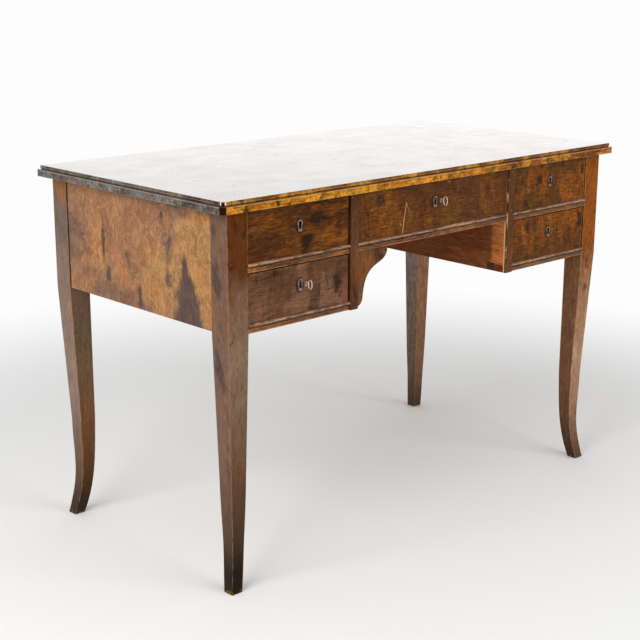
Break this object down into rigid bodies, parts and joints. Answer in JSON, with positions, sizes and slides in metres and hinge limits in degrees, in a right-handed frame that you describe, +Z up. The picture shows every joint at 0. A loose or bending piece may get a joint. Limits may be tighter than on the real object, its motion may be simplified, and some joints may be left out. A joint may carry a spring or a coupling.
{
  "type": "writing desk",
  "caption": "Kneehole writing desk: polished birch top, a shallow middle drawer between two-drawer pedestals, a shaped bracket, and square tapering legs that sweep out at the feet.",
  "frame": {"origin": "on the floor, at the middle of the space the desk takes up with its keys in: midway along it, and midway from the key bows to the top's back edge", "axes": "+X along the desk to the right as a sitter sees it, -Y out of its drawer fronts towards the sitter, +Z up"},
  "size_m": [1.15, 0.609, 0.76],
  "materials": {
    "key_steel": "bright, worn",
    "bolt_brass": "satin",
    "lock_steel": "dull, filed",
    "plate_nickel": "satin",
    "drawer_front_birch": "stained flame birch, shellac polished",
    "drawer_pine": "bare",
    "carcass_pine": "stained, matt",
    "partition_pine": "stained, matt",
    "end_panel_birch": "stained flame birch, shellac polished",
    "leg_birch": "stained birch, shellac polished",
    "top_birch": "stained birch, high polish",
    "rail_birch": "stained birch, shellac polished"
  },
  "bodies": {
    "carcass": {"back_boards": "carcass_pine", "bracket": "rail_birch", "drawer_stops": "carcass_pine", "end_panel_left": "end_panel_birch", "end_panel_right": "end_panel_birch", "facing_left": "rail_birch", "facing_right": "rail_birch", "glue_blocks": "carcass_pine", "leg_back_left": "leg_birch", "leg_back_right": "leg_birch", "leg_front_left": "leg_birch", "leg_front_right": "leg_birch", "partition_left": "partition_pine", "partition_right": "partition_pine", "rail_bottom_left": "rail_birch", "rail_bottom_right": "rail_birch", "rail_centre": "rail_birch", "rail_middle_left": "rail_birch", "rail_middle_right": "rail_birch", "runners_centre": "carcass_pine", "runners_pedestals": "carcass_pine", "top": "top_birch"},
    "drawer_left_upper": {"left_upper_back": "drawer_pine", "left_upper_bottom": "drawer_pine", "left_upper_front": "drawer_front_birch", "left_upper_keyhole_plate": "plate_nickel", "left_upper_lock": "lock_steel", "left_upper_sides": "drawer_pine"},
    "drawer_left_lower": {"left_lower_back": "drawer_pine", "left_lower_bottom": "drawer_pine", "left_lower_front": "drawer_front_birch", "left_lower_keyhole_plate": "plate_nickel", "left_lower_lock": "lock_steel", "left_lower_sides": "drawer_pine"},
    "drawer_centre": {"centre_back": "drawer_pine", "centre_bottom": "drawer_pine", "centre_front": "drawer_front_birch", "centre_keyhole_plate": "plate_nickel", "centre_lock": "lock_steel", "centre_sides": "drawer_pine"},
    "drawer_right_upper": {"right_upper_back": "drawer_pine", "right_upper_bottom": "drawer_pine", "right_upper_front": "drawer_front_birch", "right_upper_keyhole_plate": "plate_nickel", "right_upper_lock": "lock_steel", "right_upper_sides": "drawer_pine"},
    "drawer_right_lower": {"right_lower_back": "drawer_pine", "right_lower_bottom": "drawer_pine", "right_lower_front": "drawer_front_birch", "right_lower_keyhole_plate": "plate_nickel", "right_lower_lock": "lock_steel", "right_lower_sides": "drawer_pine"},
    "bolt_left_upper": {"left_upper_bolt": "bolt_brass"},
    "bolt_left_lower": {"left_lower_bolt": "bolt_brass"},
    "bolt_centre": {"centre_bolt": "bolt_brass"},
    "bolt_right_upper": {"right_upper_bolt": "bolt_brass"},
    "bolt_right_lower": {"right_lower_bolt": "bolt_brass"},
    "key_left_lower": {"left_lower_key": "key_steel"},
    "key_centre": {"centre_key": "key_steel"}
  },
  "joints": [
    {"name": "slide_left_upper", "type": "slide", "parent": "carcass", "child": "drawer_left_upper", "axis": [0, -1, 0], "range_m": [0, 0.4]},
    {"name": "slide_left_lower", "type": "slide", "parent": "carcass", "child": "drawer_left_lower", "axis": [0, -1, 0], "range_m": [0, 0.4]},
    {"name": "slide_centre", "type": "slide", "parent": "carcass", "child": "drawer_centre", "axis": [0, -1, 0], "range_m": [0, 0.4]},
    {"name": "slide_right_upper", "type": "slide", "parent": "carcass", "child": "drawer_right_upper", "axis": [0, -1, 0], "range_m": [0, 0.4]},
    {"name": "slide_right_lower", "type": "slide", "parent": "carcass", "child": "drawer_right_lower", "axis": [0, -1, 0], "range_m": [0, 0.4]},
    {"name": "bolt_left_upper", "type": "slide", "parent": "drawer_left_upper", "child": "bolt_left_upper", "axis": [0, 0, 1], "range_m": [0, 0.007]},
    {"name": "bolt_left_lower", "type": "slide", "parent": "drawer_left_lower", "child": "bolt_left_lower", "axis": [0, 0, 1], "range_m": [0, 0.007]},
    {"name": "bolt_centre", "type": "slide", "parent": "drawer_centre", "child": "bolt_centre", "axis": [0, 0, 1], "range_m": [0, 0.007]},
    {"name": "bolt_right_upper", "type": "slide", "parent": "drawer_right_upper", "child": "bolt_right_upper", "axis": [0, 0, 1], "range_m": [0, 0.007]},
    {"name": "bolt_right_lower", "type": "slide", "parent": "drawer_right_lower", "child": "bolt_right_lower", "axis": [0, 0, 1], "range_m": [0, 0.007]},
    {"name": "key_left_lower", "type": "hinge", "parent": "drawer_left_lower", "child": "key_left_lower", "pos_m": [-0.37505, -0.2725, 0.5836], "axis": [0, 1, 0], "range_deg": [0, 360]},
    {"name": "key_centre", "type": "hinge", "parent": "drawer_centre", "child": "key_centre", "pos_m": [-0.0037, -0.2725, 0.6965], "axis": [0, 1, 0], "range_deg": [0, 360]}
  ],
  "couplings": [
    {"joint": "key_left_lower", "follows": "bolt_left_lower", "rad_per_m": 897.6},
    {"joint": "key_centre", "follows": "bolt_centre", "rad_per_m": 897.6}
  ]
}
